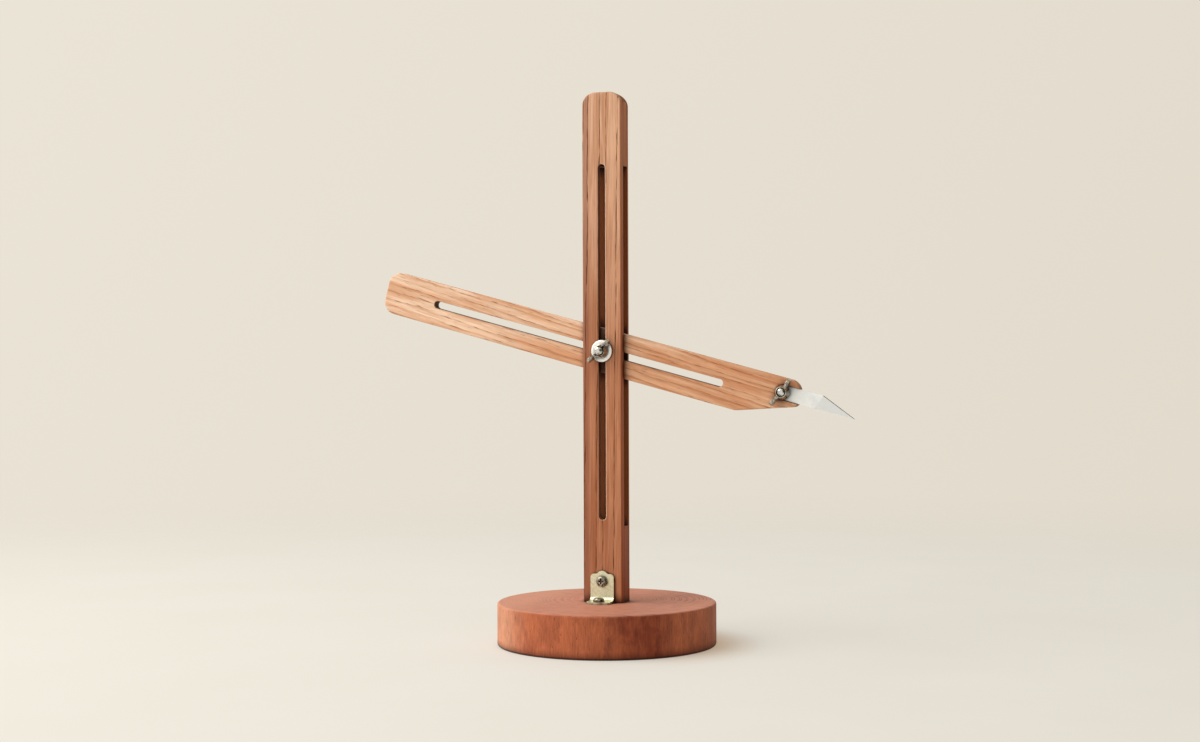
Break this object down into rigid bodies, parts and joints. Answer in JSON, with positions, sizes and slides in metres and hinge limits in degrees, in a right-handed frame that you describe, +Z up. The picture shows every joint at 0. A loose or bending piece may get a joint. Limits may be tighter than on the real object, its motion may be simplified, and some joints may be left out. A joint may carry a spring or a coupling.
{
  "type": "pottery throwing gauge",
  "caption": "Tabletop gauge: a slotted wooden mast on a round base carries a slotted, tilting arm with a blade at its nose, clamped by a bolt and wing nut.",
  "frame": {"origin": "centre of the base's underside, on the table", "axes": "+Z up along the mast, +X across the mast towards the blade, -Y the front with the wing nuts"},
  "size_m": [0.2725, 0.12, 0.3018],
  "materials": {
    "base_wood": "oiled, satin",
    "mast_wood": "oiled, satin",
    "arm_wood": "oiled, satin",
    "blade_steel": "ground, matt",
    "zinc_plated_steel": "satin",
    "nickel_plated_steel": "polished",
    "brass_plated_steel": "satin plating"
  },
  "bodies": {
    "stand": {"base": "base_wood", "mast_front_slat": "mast_wood", "mast_rear_slat": "mast_wood", "mast_foot_spacer": "mast_wood", "mast_top_spacer": "mast_wood", "corner_brace": "brass_plated_steel", "brace_mast_screw": "nickel_plated_steel", "brace_base_screw": "nickel_plated_steel", "foot_screws": "zinc_plated_steel"},
    "clamp_bolt": {"pivot_bolt": "zinc_plated_steel"},
    "rear_washer": {"pivot_rear_washer": "zinc_plated_steel"},
    "arm_with_blade": {"arm": "arm_wood", "blade": "blade_steel", "blade_bolt": "zinc_plated_steel", "blade_rear_washer": "zinc_plated_steel"},
    "front_washer": {"pivot_front_washer": "zinc_plated_steel"},
    "wing_nut": {"pivot_wing_nut": "nickel_plated_steel"},
    "blade_washer": {"blade_front_washer": "zinc_plated_steel"},
    "blade_nut": {"blade_wing_nut": "nickel_plated_steel"}
  },
  "joints": [
    {"name": "arm_height", "type": "slide", "parent": "stand", "child": "clamp_bolt", "axis": [0, 0, 1], "range_m": [-0.0673, 0.0727]},
    {"name": "arm_tilt", "type": "hinge", "parent": "clamp_bolt", "child": "rear_washer", "pos_m": [0, 0, 0.1605], "axis": [0, -1, 0], "range_deg": [-30, 60]},
    {"name": "arm_reach", "type": "slide", "parent": "rear_washer", "child": "arm_with_blade", "axis": [0.9659, 0, -0.2588], "range_m": [-0.0677, 0.104]},
    {"name": "pivot_washer_lift", "type": "slide", "parent": "clamp_bolt", "child": "front_washer", "axis": [0, -1, 0], "range_m": [0, 0.0021]},
    {"name": "pivot_nut_turn", "type": "hinge", "parent": "front_washer", "child": "wing_nut", "pos_m": [0, 0, 0.1605], "axis": [0, -1, 0], "range_deg": [0, 1080]},
    {"name": "blade_washer_lift", "type": "slide", "parent": "arm_with_blade", "child": "blade_washer", "axis": [0, -1, 0], "range_m": [0, 0.0021]},
    {"name": "blade_nut_turn", "type": "hinge", "parent": "blade_washer", "child": "blade_nut", "pos_m": [0.10009, 0, 0.13803], "axis": [0, -1, 0], "range_deg": [0, 1080]}
  ],
  "couplings": [
    {"joint": "pivot_nut_turn", "follows": "pivot_washer_lift", "rad_per_m": 8976},
    {"joint": "blade_nut_turn", "follows": "blade_washer_lift", "rad_per_m": 8976}
  ]
}
